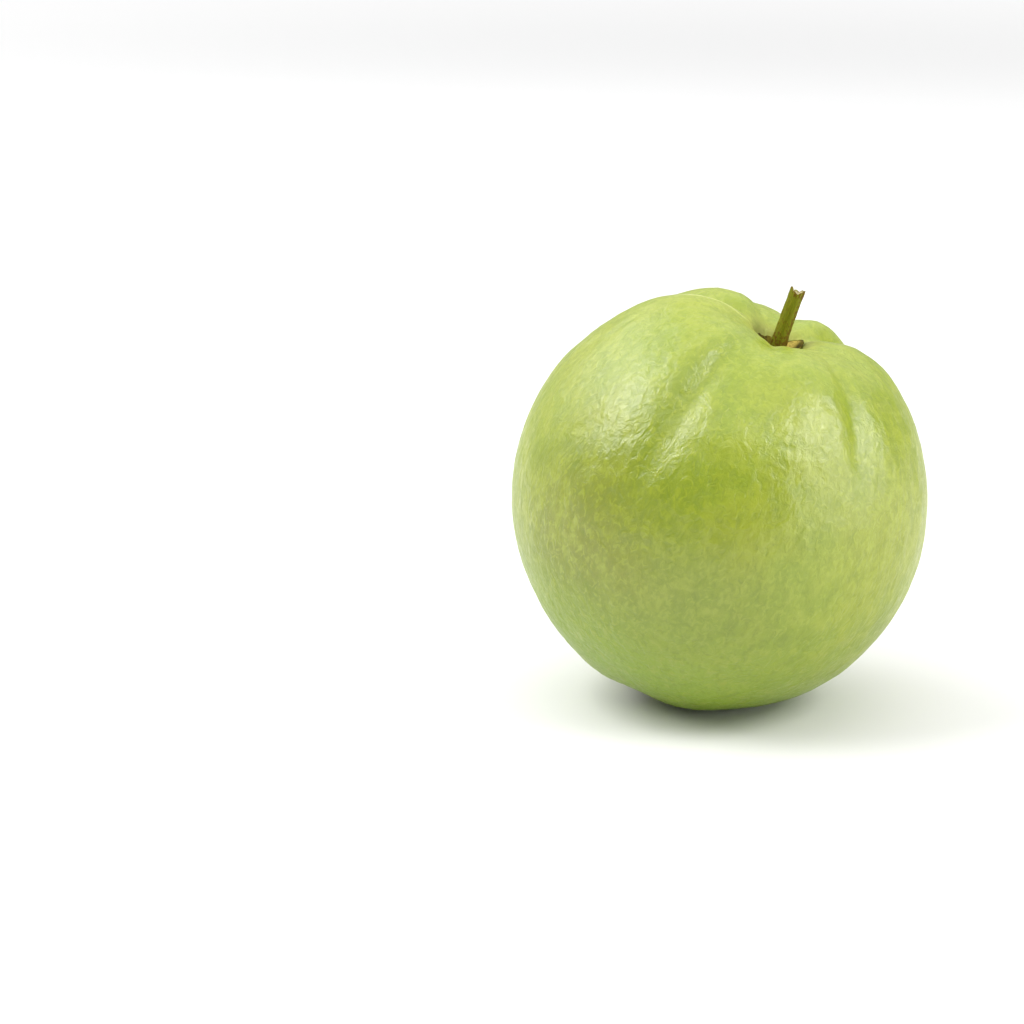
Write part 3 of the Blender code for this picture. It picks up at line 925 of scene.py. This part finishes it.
class GUAVA_OT_stage(bpy.types.Operator):
    """Set the pale floor, the soft lights and the camera of the picture"""

    bl_idname = "guava.stage"
    bl_label = "Set Stage"

    def execute(self, context):
        look = context.scene.guava_stage
        self.floor(context, look)
        self.surround(context, look)
        middle = fruit_frame().translation
        for name, *place in SOFTBOXES:
            self.softbox(context, name, middle, place, getattr(look, name))
        self.camera(context, look, middle)
        context.scene.view_settings.view_transform = "Standard"
        return {"FINISHED"}

    def floor(self, context, look):
        reach = FLOOR_REACH
        corners = [(-reach, -reach, 0), (reach, -reach, 0), (reach, reach, 0), (-reach, reach, 0)]
        mesh = bpy.data.meshes.new("studio_floor")
        mesh.from_pydata(corners, [], [(0, 1, 2, 3)])
        mesh.materials.append(floor_material(look))
        floor = bpy.data.objects.new("studio_floor", mesh)
        context.scene.collection.objects.link(floor)

    def surround(self, context, look):
        world = bpy.data.worlds.new("white_surround")
        world.use_nodes = True
        tree = world.node_tree
        background = tree.nodes["Background"]
        background.inputs["Color"].default_value = (1, 1, 1, 1)
        way = add_node(tree, "TexCoord", {}).outputs["Generated"]
        parts = add_node(tree, "SeparateXYZ", {0: way}).outputs
        above = share_of(tree, parts["Z"], *HORIZON_RISE, look.horizon, look.surround)
        tree.links.new(above, background.inputs["Strength"])
        context.scene.world = world

    def softbox(self, context, name, target, place, brightness):
        """A rectangular light that the fruit sees at the given place and angular size."""
        azimuth, height, wide, tall = (math.radians(value) for value in place)
        way = Vector(
            (
                math.sin(azimuth) * math.cos(height),
                -math.cos(azimuth) * math.cos(height),
                math.sin(height),
            )
        )
        data = bpy.data.lights.new(name + "_softbox", "AREA")
        data.shape = "RECTANGLE"
        data.size = 2 * SOFTBOX_DISTANCE * math.tan(wide / 2)
        data.size_y = 2 * SOFTBOX_DISTANCE * math.tan(tall / 2)
        data.energy = brightness * math.pi * data.size * data.size_y
        lamp = bpy.data.objects.new(data.name, data)
        lamp.location = target + way * SOFTBOX_DISTANCE
        lamp.rotation_euler = way.to_track_quat("Z", "Y").to_euler()
        context.scene.collection.objects.link(lamp)

    def camera(self, context, look, middle):
        """The picture's camera: the fruit's middle falls on its pixel of the picture."""
        focal = look.distance / METRES_PER_PIXEL
        across = FRUIT_PIXEL[0] - PICTURE_PIXELS / 2
        up = PICTURE_PIXELS / 2 - FRUIT_PIXEL[1]
        ahead = Vector((0, math.cos(look.elevation), -math.sin(look.elevation)))
        ahead = Matrix.Rotation(math.atan2(across, focal), 3, "Z") @ ahead
        side = ahead.cross(Vector((0, 0, 1))).normalized()
        ahead = Matrix.Rotation(-math.atan2(up, math.hypot(across, focal)), 3, side) @ ahead
        side = ahead.cross(Vector((0, 0, 1))).normalized()
        turned = Matrix((side, side.cross(ahead), -ahead)).transposed()
        to_fruit = turned @ Vector((across / focal, up / focal, -1)).normalized()
        data = bpy.data.cameras.new("picture_camera")
        data.sensor_width = SENSOR_WIDTH
        data.lens = focal / PICTURE_PIXELS * SENSOR_WIDTH
        camera = bpy.data.objects.new("picture_camera", data)
        place = Matrix.Translation(middle - to_fruit * look.distance)
        camera.matrix_world = place @ turned.to_4x4()
        context.scene.collection.objects.link(camera)
        context.scene.camera = camera


PIECES = [
    ("guava_skin", GuavaSkinLook, GUAVA_OT_fruit),
    ("guava_stem", GuavaStemLook, GUAVA_OT_stem),
    ("guava_scar", GuavaScarLook, GUAVA_OT_stem_scar),
    ("guava_calyx", GuavaCalyxLook, GUAVA_OT_calyx),
    ("guava_stage", GuavaStageLook, GUAVA_OT_stage),
]


class GUAVA_PT_guava(bpy.types.Panel):
    """The guava's pieces with their sizes and colours"""

    bl_idname = "GUAVA_PT_guava"
    bl_label = "Guava"
    bl_space_type = "VIEW_3D"
    bl_region_type = "UI"
    bl_category = "Guava"

    def draw(self, context):
        for name, look, operator in PIECES:
            box = self.layout.box()
            box.operator(operator.bl_idname)
            for value in look.__annotations__:
                box.prop(getattr(context.scene, name), value)


def register():
    for name, look, operator in PIECES:
        bpy.utils.register_class(look)
        bpy.utils.register_class(operator)
        setattr(bpy.types.Scene, name, PointerProperty(type=look))
    bpy.utils.register_class(GUAVA_PT_guava)


def unregister():
    bpy.utils.unregister_class(GUAVA_PT_guava)
    for name, look, operator in reversed(PIECES):
        delattr(bpy.types.Scene, name)
        bpy.utils.unregister_class(operator)
        bpy.utils.unregister_class(look)


def main():
    register()
    bpy.ops.guava.fruit()
    bpy.ops.guava.stem()
    bpy.ops.guava.stem_scar()
    bpy.ops.guava.calyx()
    bpy.ops.guava.stage()


if __name__ == "__main__":
    main()
